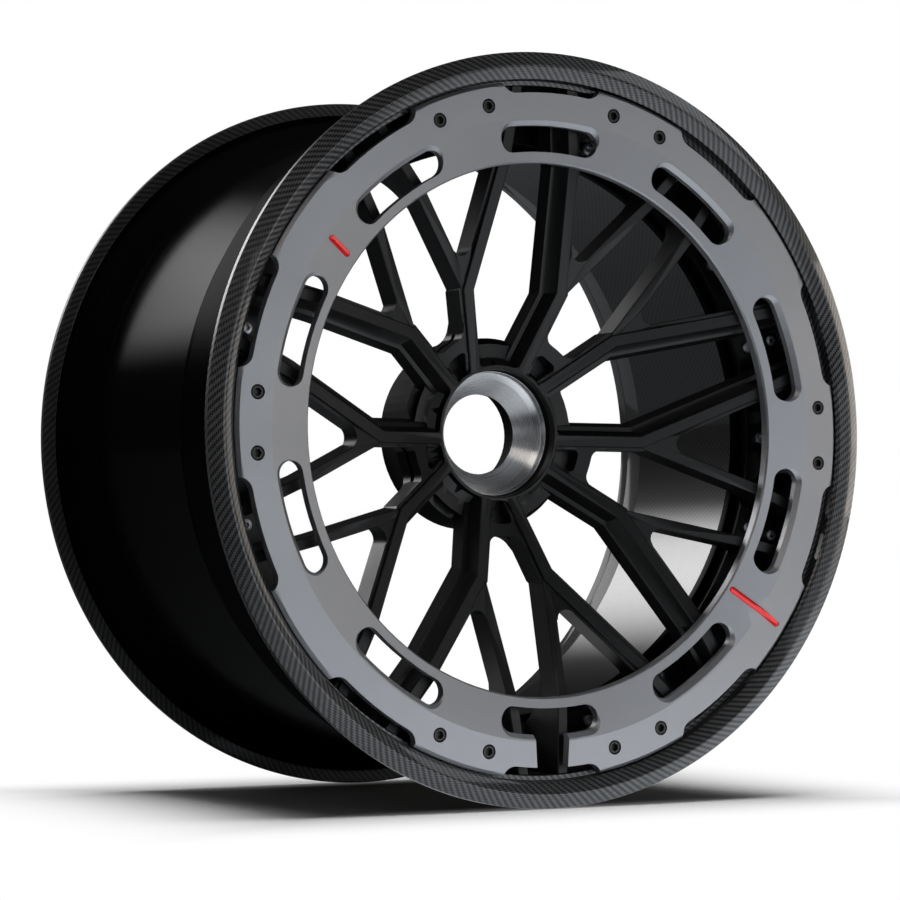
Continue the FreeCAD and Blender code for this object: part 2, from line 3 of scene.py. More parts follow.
import bmesh
import bpy
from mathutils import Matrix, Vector


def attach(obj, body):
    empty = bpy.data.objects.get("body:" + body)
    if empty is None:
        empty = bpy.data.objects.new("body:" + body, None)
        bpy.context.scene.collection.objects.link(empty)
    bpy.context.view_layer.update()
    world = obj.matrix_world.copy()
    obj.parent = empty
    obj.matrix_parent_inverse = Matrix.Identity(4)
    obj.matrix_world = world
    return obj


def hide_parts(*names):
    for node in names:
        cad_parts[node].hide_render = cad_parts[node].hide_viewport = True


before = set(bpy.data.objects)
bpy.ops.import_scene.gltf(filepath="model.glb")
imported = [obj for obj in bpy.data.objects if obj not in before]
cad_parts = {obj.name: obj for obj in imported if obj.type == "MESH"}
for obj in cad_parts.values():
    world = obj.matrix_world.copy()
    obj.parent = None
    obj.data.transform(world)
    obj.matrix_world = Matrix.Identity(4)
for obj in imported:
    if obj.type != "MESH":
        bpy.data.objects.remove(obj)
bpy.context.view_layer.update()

bl_info = {
    "name": "Forged Car Wheel",
    "version": (1, 0, 0),
    "blender": (4, 5, 0),
    "location": "View3D > Sidebar > Wheel",
    "description": "Dresses a car wheel with a carbon barrel, a forged centre and a slotted face ring",
    "category": "Object",
}

# Places along the wheel axis are depths behind the plane of the front lip, in metres.
FRONT_LIP = -0.16175

# The face ring has ten lands with a bay after each, counted from three o'clock.
LAND_PITCH = math.radians(36)
LANDS_WITH_SCREWS = (0, 2, 3, 5, 7, 8)
BAYS_WITH_CAP_SCREWS = (0, 1, 2, 3, 4, 5, 6, 8, 9)

# Zones of the barrel, each with its own finish.
TWILL = 0
LACQUER = 1
INNER = 2
# The rear lip's zone carries painted shade in its darker tows.
REAR = 3
SEATS = 4

# Section of the barrel: radius, depth and rounding of each corner, and the zone that starts there.
BARREL_CORNERS = (
    (0.2658, 0.0040, 0.0006, TWILL),
    (0.2685, 0.0018, 0.0006, TWILL),
    (0.2755, -0.0022, 0.0030, TWILL),
    (0.2864, 0.0033, 0.0008, TWILL),
    (0.2864, 0.00815, 0.0010, TWILL),
    (0.2852, 0.00935, 0.0010, SEATS),
    (0.2705, 0.00935, 0.0030, SEATS),
    (0.2690, 0.0125, 0.0020, SEATS),
    (0.267175, 0.03135, 0.0010, SEATS),
    (0.268375, 0.03485, 0.0030, SEATS),
    (0.2674, 0.0405, 0.0020, SEATS),
    (0.267175, 0.0870, 0.0060, SEATS),
    (0.2563, 0.1160, 0.0020, LACQUER),
    (0.2560, 0.1185, 0.0006, LACQUER),
    (0.2545, 0.1200, 0.0006, LACQUER),
    (0.2545, 0.2640, 0.0006, LACQUER),
    (0.2567, 0.2662, 0.0008, SEATS),
    (0.2567, 0.2780, 0.0015, SEATS),
    (0.268375, 0.28865, 0.0030, SEATS),
    (0.267175, 0.29215, 0.0010, SEATS),
    (0.2690, 0.3110, 0.0020, SEATS),
    (0.2705, 0.31415, 0.0030, SEATS),
    (0.2760, 0.31415, 0.0001, REAR),
    (0.2764, 0.31380, 0.0001, REAR),
    (0.2768, 0.31415, 0.0001, REAR),
    (0.2852, 0.31415, 0.0010, REAR),
    (0.2864, 0.31535, 0.0010, REAR),
    (0.2864, 0.3202, 0.0010, REAR),
    (0.2755, 0.3257, 0.0030, REAR),
    (0.2637, 0.3202, 0.0010, INNER),
    (0.25798, 0.3005, 0.0002, INNER),
    (0.25840, 0.2999, 0.0002, INNER),
    (0.25770, 0.2995, 0.0002, INNER),
    (0.2475, 0.2640, 0.0060, INNER),
    (0.2475, 0.0870, 0.0015, LACQUER),
    (0.2204, 0.0870, 0.0008, LACQUER),
    (0.2204, 0.0790, 0.0008, LACQUER),
    (0.261975, 0.0790, 0.0010, TWILL),
    (0.261975, 0.0130, 0.0006, TWILL),
    (0.2658, 0.0130, 0.0006, TWILL),
)

# Zones of the lock seat and of the forged centre.
BODY = 0
# The bore zone is a darker black laid as painted shade deep in the wheel.
BORE_SHADE = 1

# Section of the lock seat, in the same order.
SEAT_CORNERS = (
    (0.0315, 0.1146, 0.0005, BODY),
    (0.0430, 0.1014, 0.0003, BODY),
    (0.0468, 0.0977, 0.0002, BODY),
    (0.0474, 0.0983, 0.0001, BODY),
    (0.0473, 0.0969, 0.0002, BODY),
    (0.0482, 0.0930, 0.0002, BODY),
    (0.0485, 0.0930, 0.0001, BODY),
    (0.0488, 0.0933, 0.0001, BODY),
    (0.0488, 0.1180, 0.0004, BODY),
    (0.0315, 0.1180, 0.0004, BORE_SHADE),
)
SEAT_STEPS = 192

# Most of a side's length that the rounding of one corner may take.
SIDE_SHARE = 0.45

# Tows after which the twill repeats, and how many of them lie on top.
TWILL_REPEAT = 4
TWILL_FLOAT = 2

# The forged centre takes a darker, duller black inside its bore and round the outside of the hub drum, as
# painted shade deep in the wheel.
HUB_BORE = 0.0495
HUB_DRUM = 0.1
DRUM_FACING = 0.9

INLAY_ROUNDING = 0.0007

# Screws: lengths in metres, and a seed for the turn of the sockets.
RING_SCREW_FORM = {
    "Head height": 0.0046, "Crown": 0.0006, "Crown width": 0.0006, "Socket radius": 0.0032, "Seed": 3}
FLANGE_SCREW_FORM = {
    "Head height": 0.0036, "Crown": 0.0008, "Crown width": 0.0018, "Socket radius": 0.0026, "Seed": 8}
CAP_SCREW_FORM = {
    "Head height": 0.009, "Crown": 0.0007, "Crown width": 0.0016, "Socket radius": 0.0024, "Seed": 5}
SCREW_SIDES = 40
SOCKET_SHARE = 0.85

# Relief of painted, blasted and ground faces, and the stretch of noise that a finish is spread over.
GRAIN_RELIEF = 0.0001
NOISE_LOW = 0.3
NOISE_HIGH = 0.7

# Fine rings that the tool leaves on turned metal: how many in a metre, and their shade.
TOOL_RINGS = 2600.0
TOOL_RING_SHADE = 0.86

# Floor: its reach, the part that keeps the shadow, and the painted glow, a painted reflection of light,
# that gloss sees in it.
FLOOR_HEIGHT = -0.2864
FLOOR_REACH = 14.0
FOOTPRINT = (0.26, 0.17)
LIGHT_POOL = (0.25, -0.50, FLOOR_HEIGHT)
POOL_LEVEL = 1.3
STREAK_LINE = -0.28
STREAK_HALF_WIDTH = 0.22
STREAK_LEVEL = 0.85
BEHIND_LEVEL = 0.07
REST_LEVEL = 0.02

WHITE = (1.0, 1.0, 1.0)
WARM = (1.0, 0.92, 0.84)
COOL = (0.90, 0.95, 1.0)

# Lamps: name, place, width and height, brightness, colour, and whether it lights the floor.
# The lamp that lights the floor isn't mirrored, and the others are only mirrored.
LAMPS = (
    ("top_softbox", (0.0, -0.15, 2.6), (1.8, 1.6), 8.5, WHITE, True),
    ("right_softbox", (3.0, -0.30, 0.10), (0.85, 1.8), 1.7, WARM, False),
    ("right_strip", (2.85, 1.00, 0.10), (0.5, 1.6), 9.0, WARM, False),
    ("upper_softbox", (2.1, -0.95, 1.8), (1.1, 1.0), 1.5, COOL, False),
    ("front_left_softbox", (0.95, -3.25, 0.15), (1.7, 1.0), 1.75, COOL, False),
    ("front_right_softbox", (2.45, -2.55, 0.15), (1.5, 1.0), 1.7, (1.0, 0.95, 0.90), False),
    ("camera_fill", (-0.6, -3.3, 0.7), (1.6, 2.0), 0.75, COOL, False),
    ("upper_left_softbox", (-1.8, -1.7, 1.7), (1.2, 1.0), 1.6, WARM, False),
    ("left_strip", (-2.8, 1.00, 0.20), (0.7, 1.6), 1.1, WARM, False),
    ("rear_softbox", (-0.85, 2.69, 1.30), (2.5, 1.4), 4.1, WHITE, False),
    ("rear_card", (0.70, 3.2, 0.40), (0.6, 0.5), 0.5, WHITE, False),
)
FADED_LAMPS = ("rear_softbox",)


class WheelSizes(bpy.types.PropertyGroup):
    """Sizes of the pieces that are drawn here rather than carried over."""

    lathe_steps: bpy.props.IntProperty(
        name="Lathe steps", description="Steps round the wheel for turned pieces", default=288, min=48)
    tow_width: bpy.props.FloatProperty(
        name="Tow width", description="Width of one bundle of carbon fibres", default=0.0015,
        unit="LENGTH", precision=4)
    ring_screw_circle: bpy.props.FloatProperty(
        name="Ring screw circle", description="Radius of the circle of ring screws", default=0.2481,
        unit="LENGTH", precision=4)
    ring_screw_spread: bpy.props.FloatProperty(
        name="Ring screw spread", description="Angle of a ring screw from the middle of its land",
        default=math.radians(5.1), subtype="ANGLE")
    ring_screw_face: bpy.props.FloatProperty(
        name="Ring screw face", description="Depth of the ring screw heads behind the lip",
        default=0.0022, unit="LENGTH", precision=4)
    ring_screw_radius: bpy.props.FloatProperty(
        name="Ring screw head", description="Radius of a ring screw's head", default=0.0049,
        unit="LENGTH", precision=4)
    flange_screw_circle: bpy.props.FloatProperty(
        name="Flange screw circle", description="Radius of the circle of flange screws", default=0.2366,
        unit="LENGTH", precision=4)
    flange_screw_count: bpy.props.IntProperty(
        name="Flange screws", description="Number of screws between the centre and the barrel", default=20)
    flange_screw_face: bpy.props.FloatProperty(
        name="Flange screw face", description="Depth of the flange screw heads behind the lip",
        default=0.0664, unit="LENGTH", precision=4)
    flange_screw_radius: bpy.props.FloatProperty(
        name="Flange screw head", description="Radius of a flange screw's head", default=0.0046,
        unit="LENGTH", precision=4)
    cap_screw_circle: bpy.props.FloatProperty(
        name="Cap screw circle", description="Radius of the circle of cap screws", default=0.2560,
        unit="LENGTH", precision=4)
    cap_screw_face: bpy.props.FloatProperty(
        name="Cap screw face", description="Depth of the cap screw heads behind the lip",
        default=0.0610, unit="LENGTH", precision=4)
    cap_screw_radius: bpy.props.FloatProperty(
        name="Cap screw head", description="Radius of a cap screw's head", default=0.0042,
        unit="LENGTH", precision=4)


class WheelFinishes(bpy.types.PropertyGroup):
    """Colours of the finishes."""

    # Painted sheen and shade: the light and dark tows are one fibre, made lighter or darker by how it runs
    # to the light.
    shaded_tow: bpy.props.FloatVectorProperty(
        name="Dark tow", description="Carbon fibres that run away from the light", subtype="COLOR",
        default=(0.004, 0.004, 0.0045), min=0, max=1)
    lit_tow: bpy.props.FloatVectorProperty(
        name="Light tow", description="Carbon fibres that run across the light", subtype="COLOR",
        default=(0.115, 0.115, 0.118), min=0, max=1)
    # Partly painted shade: the tows inside the barrel are darker than the front lip's, partly because the
    # lacquer lies thick there and partly as painted shade.
    inner_tow: bpy.props.FloatVectorProperty(
        name="Inner tow", description="Light fibres inside the barrel, under deep lacquer", subtype="COLOR",
        default=(0.035, 0.035, 0.037), min=0, max=1)
    # Painted shade: the rear lip's tows are darker than the front lip's because the rear lip lies in shade.
    rear_tow: bpy.props.FloatVectorProperty(
        name="Rear tow", description="Light fibres of the rear lip, which lies in shade", subtype="COLOR",
        default=(0.045, 0.045, 0.047), min=0, max=1)
    lacquer_black: bpy.props.FloatVectorProperty(
        name="Lacquer black", description="Black lacquer on the outside of the barrel", subtype="COLOR",
        default=(0.0016, 0.0016, 0.0016), min=0, max=1)
    forged_black: bpy.props.FloatVectorProperty(
        name="Forged black", description="Satin black of the forged centre", subtype="COLOR",
        default=(0.0065, 0.0065, 0.0068), min=0, max=1)
    ring_grey: bpy.props.FloatVectorProperty(
        name="Ring grey", description="Satin grey of the face ring", subtype="COLOR",
        default=(0.36, 0.365, 0.385), min=0, max=1)
    seat_metal: bpy.props.FloatVectorProperty(
        name="Seat metal", description="Turned metal of the lock seat", subtype="COLOR",
        default=(0.86, 0.86, 0.87), min=0, max=1)
    screw_black: bpy.props.FloatVectorProperty(
        name="Screw black", description="Black oxide on the ring screws", subtype="COLOR",
        default=(0.055, 0.054, 0.053), min=0, max=1)
    screw_bright: bpy.props.FloatVectorProperty(
        name="Screw bright", description="Plain steel of the flange and cap screws", subtype="COLOR",
        default=(0.62, 0.63, 0.65), min=0, max=1)
    inlay_red: bpy.props.FloatVectorProperty(
        name="Inlay red", description="Gloss red of the ring's inlays", subtype="COLOR",
        default=(0.95, 0.012, 0.016), min=0, max=1)


class WheelStage(bpy.types.PropertyGroup):
    """Camera, floor and light."""

    floor_height: bpy.props.FloatProperty(
        name="Floor height", description="Height of the floor", default=FLOOR_HEIGHT, unit="LENGTH",
        precision=4)
    camera_place: bpy.props.FloatVectorProperty(
        name="Camera place", description="Where the camera stands", default=(-1.2217, -2.1778, -0.0962),
        subtype="TRANSLATION", precision=4)
    camera_aim: bpy.props.FloatVectorProperty(
        name="Camera aim", description="Direction the camera looks in", default=(0.4892, 0.8715, 0.0341),
        subtype="DIRECTION", precision=4)
    camera_lens: bpy.props.FloatProperty(
        name="Camera lens", description="Focal length in millimetres", default=124.69)
    room_light: bpy.props.FloatProperty(
        name="Room light", description="Level of the plain light from all round", default=0.04, min=0)
    mirror_light: bpy.props.FloatProperty(
        name="Mirror light", description="Level of the room as gloss and metal mirror it", default=0.02,
        min=0)


def depth(amount):
    """Y of a plane that lies this far behind the front lip, in metres."""
    return FRONT_LIP + amount


def link_piece(name, mesh):
    """New object at the origin."""
    piece = bpy.data.objects.new(name, mesh)
    bpy.context.scene.collection.objects.link(piece)
    return piece


def smooth(mesh, angle=9.0):
    """Smooth shading with sharp edges kept where the surface turns by more than the angle."""
    mesh.shade_smooth()
    mesh.set_sharp_from_angle(angle=math.radians(angle))


def on_circle(radius, level, turn):
    """Place at an angle from three o'clock on a circle about the wheel axis."""
    return radius * math.cos(turn), depth(level), radius * math.sin(turn)


def coat(piece, *materials):
    """Put materials on a piece, in the order of its zones."""
    for material in materials:
        piece.data.materials.append(material)


def dress(piece, slot, *nodes):
    """Tie a finished piece to the wheel's body and hide the solids that it stands for; the slot is not
    used.
    """
    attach(piece, "root")
    if nodes:
        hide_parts(*nodes)


def welded_copy(node, name):
    """Copy of a solid's mesh with its loose triangles joined up and its slivers taken out."""
    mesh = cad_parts[node].data.copy()
    mesh.name = name
    form = bmesh.new()
    form.from_mesh(mesh)
    bmesh.ops.remove_doubles(form, verts=form.verts, dist=2e-6)
    bmesh.ops.dissolve_degenerate(form, edges=form.edges, dist=2e-6)
    form.to_mesh(mesh)
    form.free()
    mesh.materials.clear()
    return link_piece(name, mesh)


def round_edges(piece, width):
    """Small rounding on the sharp edges of a piece."""
    bevel = piece.modifiers.new("Edges", "BEVEL")
    bevel.width = width
    bevel.segments = 3
    bevel.limit_method = "ANGLE"
    bevel.angle_limit = math.radians(32)
    bevel.harden_normals = True
    bake_modifiers(piece)


def bake_modifiers(piece):
    """Turn a piece's modifiers into plain mesh."""
    graph = bpy.context.evaluated_depsgraph_get()
    mesh = bpy.data.meshes.new_from_object(piece.evaluated_get(graph))
    piece.modifiers.clear()
    mesh.name = piece.data.name
    piece.data = mesh


def rounded_profile(corners, steps=5):
    """Closed profile with a rounding at each (radius, depth, rounding, zone) corner."""
    points = []
    count = len(corners)
    for index, (radius, level, rounding, zone) in enumerate(corners):
        here = Vector((radius, level))
        before = Vector(corners[index - 1][:2]) - here
        after = Vector(corners[(index + 1) % count][:2]) - here
        half_turn = (math.pi - before.angle(after)) / 2
        longest = SIDE_SHARE * min(before.length, after.length)
        reach = min(rounding * math.tan(half_turn), longest)
        start = here + before.normalized() * reach
        end = here + after.normalized() * reach
        for step in range(steps + 1):
            share = step / steps
            near = start.lerp(here, share)
            far = here.lerp(end, share)
            points.append((near.lerp(far, share), zone))
    return points


def lathe(name, points, steps, pitch=1.0):
    """Turned mesh about the wheel axis, with a map that counts tows of a pitch round and along."""
    form = bmesh.new()
    rings = []
    for step in range(steps):
        turn = 2 * math.pi * step / steps
        cosine = math.cos(turn)
        sine = math.sin(turn)
        rings.append([form.verts.new((p.x * cosine, depth(p.y), p.x * sine)) for p, zone in points])
    weave = form.loops.layers.uv.new("Weave")
    along = [0.0]
    count = len(points)
    for index in range(count):
        along.append(along[-1] + (points[(index + 1) % count][0] - points[index][0]).length)
    girth = 2 * math.pi * max(p.x for p, zone in points)
    tows_round = TWILL_REPEAT * round(girth / pitch / TWILL_REPEAT)
    for step in range(steps):
        ring = rings[step]
        following = rings[(step + 1) % steps]
        for index in range(count):
            other = (index + 1) % count
            face = form.faces.new((ring[index], following[index], following[other], ring[other]))
            face.material_index = points[index][1]
            places = ((step, index), (step + 1, index), (step + 1, index + 1), (step, index + 1))
            for loop, (across, up) in zip(face.loops, places):
                loop[weave].uv = (across / steps * tows_round, along[up] / pitch)
    bmesh.ops.recalc_face_normals(form, faces=form.faces)
    mesh = bpy.data.meshes.new(name)
    form.to_mesh(mesh)
    form.free()
    smooth(mesh)
    return link_piece(name, mesh)


class Nodes:
    """Short way to place and join nodes in a tree."""

    def __init__(self, tree):
        self.tree = tree

    def add(self, kind, **settings):
        node = self.tree.nodes.new(kind)
        for name, value in settings.items():
            setattr(node, name, value)
        return node

    def feed(self, socket, value):
        if isinstance(value, bpy.types.NodeSocket):
            self.tree.links.new(value, socket)
        elif value is not None:
            socket.default_value = value

    def math(self, operation, first, second=None):
        node = self.add("ShaderNodeMath", operation=operation)
        self.feed(node.inputs[0], first)
        self.feed(node.inputs[1], second)
        return node.outputs[0]

    def blend(self, share, first, second):
        node = self.add("ShaderNodeMix", data_type="RGBA")
        self.feed(node.inputs["Factor"], share)
        self.feed(node.inputs["A"], first)
        self.feed(node.inputs["B"], second)
        return node.outputs["Result"]

    def spread(self, value, low, high):
        node = self.add("ShaderNodeMapRange")
        self.feed(node.inputs["Value"], value)
        node.inputs["From Min"].default_value = NOISE_LOW
        node.inputs["From Max"].default_value = NOISE_HIGH
        self.feed(node.inputs["To Min"], low)
        self.feed(node.inputs["To Max"], high)
        return node.outputs["Result"]

    def relief(self, shader, height, strength, distance):
        bump = self.add("ShaderNodeBump")
        bump.inputs["Strength"].default_value = strength
        bump.inputs["Distance"].default_value = distance
        self.feed(bump.inputs["Height"], height)
        self.feed(shader.inputs["Normal"], bump.outputs[0])


def new_group(name, inputs, outputs):
    """Shader node group with named sockets; returns its node helper, input and output nodes."""
    group = bpy.data.node_groups.new(name, "ShaderNodeTree")
    for label, kind, value in inputs:
        socket = group.interface.new_socket(label, in_out="INPUT", socket_type=kind)
        socket.default_value = value
    for label, kind in outputs:
        group.interface.new_socket(label, in_out="OUTPUT", socket_type=kind)
    nodes = Nodes(group)
    return nodes, nodes.add("NodeGroupInput").outputs, nodes.add("NodeGroupOutput").inputs


def weave_group():
    """Two-by-two twill: light and dark tows, each a little raised along its middle; their light and dark
    tones are painted sheen and shade of one fibre.
    """
    if "Twill weave" in bpy.data.node_groups:
        return bpy.data.node_groups["Twill weave"]
    nodes, given, made = new_group(
        "Twill weave",
        [("Light tow", "NodeSocketColor", (1, 1, 1, 1)), ("Dark tow", "NodeSocketColor", (0, 0, 0, 1)),
         ("Rough low", "NodeSocketFloat", 0.3), ("Rough high", "NodeSocketFloat", 0.5)],
        [("Color", "NodeSocketColor"), ("Height", "NodeSocketFloat"), ("Roughness", "NodeSocketFloat")])
    weave = nodes.add("ShaderNodeUVMap", uv_map="Weave")
    split = nodes.add("ShaderNodeSeparateXYZ")
    nodes.feed(split.inputs[0], weave.outputs[0])
    across, along = split.outputs[0], split.outputs[1]
    cell = nodes.math("SUBTRACT", nodes.math("FLOOR", across), nodes.math("FLOOR", along))
    warp = nodes.math("LESS_THAN", nodes.math("FLOORED_MODULO", cell, TWILL_REPEAT), TWILL_FLOAT - 0.5)

    def crown(place):
        offset = nodes.math("SUBTRACT", nodes.math("FRACT", place), 0.5)
        squared = nodes.math("MULTIPLY", offset, offset)
        return nodes.math("SUBTRACT", 1.0, nodes.math("MULTIPLY", squared, 4.0))

    warp_crown = crown(across)
    weft_crown = crown(along)
    difference = nodes.math("SUBTRACT", warp_crown, weft_crown)
    height = nodes.math("ADD", weft_crown, nodes.math("MULTIPLY", warp, difference))
    fibres = nodes.add("ShaderNodeTexNoise")
    nodes.feed(fibres.inputs["Vector"], weave.outputs[0])
    fibres.inputs["Scale"].default_value = 0.35
    fibres.inputs["Detail"].default_value = 3.0
    lively = nodes.spread(fibres.outputs[0], 0.7, 1.2)
    weft = nodes.math("SUBTRACT", 1.0, warp)
    # Painted shade: weft tows darken along their middle and stay lighter at their edges, while warp tows
    # take the light tow's colour.
    weft_shade = nodes.math("MULTIPLY", weft, nodes.math("POWER", height, 0.5))
    share = nodes.math("MULTIPLY", nodes.math("SUBTRACT", 1.0, weft_shade), lively)
    nodes.feed(made["Color"], nodes.blend(share, given["Dark tow"], given["Light tow"]))
    nodes.feed(made["Height"], height)
    nodes.feed(made["Roughness"], nodes.spread(fibres.outputs[0], given["Rough low"], given["Rough high"]))
    return nodes.tree


def grain_group():
    """Fine grain of a blasted or painted surface: uneven roughness, faint tint and small relief."""
    if "Fine grain" in bpy.data.node_groups:
        return bpy.data.node_groups["Fine grain"]
    nodes, given, made = new_group(
        "Fine grain",
        [("Color", "NodeSocketColor", (0.5, 0.5, 0.5, 1)), ("Grain size", "NodeSocketFloat", 0.001),
         ("Rough low", "NodeSocketFloat", 0.3), ("Rough high", "NodeSocketFloat", 0.5),
         ("Tint", "NodeSocketFloat", 0.1)],
        [("Color", "NodeSocketColor"), ("Height", "NodeSocketFloat"), ("Roughness", "NodeSocketFloat")])
    place = nodes.add("ShaderNodeTexCoord").outputs["Object"]
    grain = nodes.add("ShaderNodeTexNoise")
    nodes.feed(grain.inputs["Vector"], place)
    nodes.feed(grain.inputs["Scale"], nodes.math("DIVIDE", 1.0, given["Grain size"]))
    grain.inputs["Detail"].default_value = 2.0
    cloud = nodes.add("ShaderNodeTexNoise")
    nodes.feed(cloud.inputs["Vector"], place)
    cloud.inputs["Scale"].default_value = 14.0
    cloud.inputs["Detail"].default_value = 4.0
    shade = nodes.spread(cloud.outputs[0], nodes.math("SUBTRACT", 1.0, given["Tint"]),
                         nodes.math("ADD", 1.0, given["Tint"]))
    tinted = nodes.add("ShaderNodeVectorMath", operation="SCALE")
    nodes.feed(tinted.inputs[0], given["Color"])
    nodes.feed(tinted.inputs["Scale"], shade)
    nodes.feed(made["Color"], tinted.outputs[0])
    nodes.feed(made["Height"], grain.outputs[0])
    nodes.feed(made["Roughness"], nodes.spread(cloud.outputs[0], given["Rough low"], given["Rough high"]))
    return nodes.tree


def new_finish(name):
    """New material with its node helper and its shader."""
    material = bpy.data.materials.new(name)
    material.use_nodes = True
    return material, Nodes(material.node_tree), material.node_tree.nodes["Principled BSDF"]


def opaque(colour):
    """Colour with full alpha."""
    return (*colour, 1.0)


def finish_with(name, group, values, relief, relief_depth, **settings):
    """Material whose colour, roughness and relief come from a surface group."""
    material, nodes, shader = new_finish(name)
    surface = nodes.add("ShaderNodeGroup", node_tree=group)
    for label, value in values.items():
        surface.inputs[label].default_value = value
    nodes.feed(shader.inputs["Base Color"], surface.outputs["Color"])
    nodes.feed(shader.inputs["Roughness"], surface.outputs["Roughness"])
    nodes.relief(shader, surface.outputs["Height"], relief, relief_depth)
    for label, value in settings.items():
        shader.inputs[label.replace("_", " ")].default_value = value
    return material


def woven(name, light, dark, rough, relief, relief_depth, **settings):
    """Material of woven tows with a range of roughness."""
    values = {"Light tow": opaque(light), "Dark tow": opaque(dark), "Rough low": rough[0],
              "Rough high": rough[1]}
    return finish_with(name, weave_group(), values, relief, relief_depth, **settings)


def grained(name, colour, grain, rough, tint, relief, **settings):
    """Material with a fine grain and a range of roughness."""
    values = {"Color": opaque(colour), "Grain size": grain, "Rough low": rough[0], "Rough high": rough[1],
              "Tint": tint}
    return finish_with(name, grain_group(), values, relief, GRAIN_RELIEF, **settings)


def carbon_twill(finishes):
    """Woven carbon under clear lacquer, with painted sheen and shade on its light and dark tows."""
    return woven("carbon_twill", finishes.lit_tow, finishes.shaded_tow, (0.32, 0.42), 0.6, 0.0002,
                 Metallic=0.75, Coat_Weight=0.7, Coat_Roughness=0.06)


def carbon_rear(finishes):
    """Woven carbon of the rear lip, its tows darker than the front's as painted shade, since the lip lies
    in shade, under a thinner, duller coat.
    """
    return woven("carbon_rear", finishes.rear_tow, finishes.shaded_tow, (0.36, 0.46), 0.4, 0.0002,
                 Metallic=0.5, Coat_Weight=0.3, Coat_Roughness=0.1)


def carbon_inner(finishes):
    """Woven carbon deep under gloss lacquer, inside the barrel; its tows are darker than the front lip's,
    partly for the thick lacquer over the weave and partly as painted shade inside the barrel.
    """
    return woven("carbon_inner", finishes.inner_tow, finishes.shaded_tow, (0.28, 0.36), 0.06, 0.0001,
                 Metallic=0.4, Coat_Weight=1.0, Coat_Roughness=0.06, Coat_IOR=1.65)


def carbon_lacquer(finishes):
    """Satin black lacquer on the outside, with the weave only just showing through."""
    faint = [channel * 1.5 for channel in finishes.lacquer_black]
    return woven("carbon_lacquer", faint, finishes.lacquer_black, (0.13, 0.16), 0.02, 0.0001,
                 Specular_IOR_Level=0.015)


def seat_lacquer(finishes):
    """Thin dull lacquer on the bead seats, where the tyre rubs."""
    return grained("seat_lacquer", finishes.lacquer_black, 0.0008, (0.2, 0.26), 0.08, 0.03,
                   Specular_IOR_Level=0.004)


def forged_satin(finishes):
    """Satin black paint on the forging."""
    return grained("forged_satin", finishes.forged_black, 0.0006, (0.36, 0.46), 0.08, 0.08,
                   Specular_IOR_Level=0.43)


def bore_shade_black(finishes):
    """Dull black of the hub bore, darker than the finishes round it: painted shade on the forged centre's
    bore and hub drum and on the lock seat's bore wall, deep in the wheel.
    """
    return grained("bore_shade_black", finishes.lacquer_black, 0.0006, (0.6, 0.7), 0.08, 0.05,
                   Specular_IOR_Level=0.1)


def ring_satin(finishes):
    """Blasted and anodised grey."""
    return grained("ring_satin", finishes.ring_grey, 0.0005, (0.38, 0.45), 0.03, 0.06, Metallic=0.8)


def screw_oxide(finishes):
    """Black oxide on steel."""
    return grained("screw_oxide", finishes.screw_black, 0.0004, (0.35, 0.5), 0.1, 0.05, Metallic=0.9)


def screw_steel(finishes):
    """Plain bright steel."""
    return grained("screw_steel", finishes.screw_bright, 0.0004, (0.4, 0.5), 0.08, 0.05, Metallic=1.0)


def inlay_gloss(finishes):
    """Gloss red lacquer."""
    return grained("inlay_gloss", finishes.inlay_red, 0.0008, (0.2, 0.3), 0.06, 0.03,
                   Metallic=0.4, Coat_Weight=0.5)


def turned_metal(finishes):
    """Bright turned metal with fine rings left by the tool."""
    material, nodes, shader = new_finish("turned_metal")
    split = nodes.add("ShaderNodeSeparateXYZ")
    nodes.feed(split.inputs[0], nodes.add("ShaderNodeUVMap", uv_map="Weave").outputs[0])
    stretched = nodes.add("ShaderNodeCombineXYZ")
    nodes.feed(stretched.inputs["Y"], nodes.math("MULTIPLY", split.outputs["Y"], TOOL_RINGS))
    lines = nodes.add("ShaderNodeTexNoise")
    nodes.feed(lines.inputs["Vector"], stretched.outputs[0])
    lines.inputs["Scale"].default_value = 1.0
    lines.inputs["Detail"].default_value = 3.0
    dark = [channel * TOOL_RING_SHADE for channel in finishes.seat_metal]
    shade = nodes.spread(lines.outputs[0], 0.0, 1.0)
    nodes.feed(shader.inputs["Base Color"], nodes.blend(shade, opaque(dark), opaque(finishes.seat_metal)))
    nodes.feed(shader.inputs["Roughness"], nodes.spread(lines.outputs[0], 0.24, 0.30))
    nodes.relief(shader, lines.outputs[0], 0.12, GRAIN_RELIEF)
    round_axis = nodes.add("ShaderNodeTangent", direction_type="RADIAL", axis="Y")
    nodes.feed(shader.inputs["Tangent"], round_axis.outputs[0])
    shader.inputs["Anisotropic"].default_value = 0.95
    shader.inputs["Anisotropic Rotation"].default_value = 0.25
    shader.inputs["Metallic"].default_value = 1.0
    return material


class WHEEL_OT_barrel(bpy.types.Operator):
    """Turn the carbon barrel with its lips, bead seats, well and inner flange"""

    bl_idname = "wheel.barrel"
    bl_label = "Barrel"

    def execute(self, context):
        sizes = context.scene.wheel_sizes
        finishes = context.scene.wheel_finishes
        points = rounded_profile(BARREL_CORNERS)
        piece = lathe("barrel_shell", points, sizes.lathe_steps, sizes.tow_width)
        coat(piece, carbon_twill(finishes), carbon_lacquer(finishes), carbon_inner(finishes),
             carbon_rear(finishes), seat_lacquer(finishes))
        dress(piece, "carbon", "barrel")
        return {"FINISHED"}


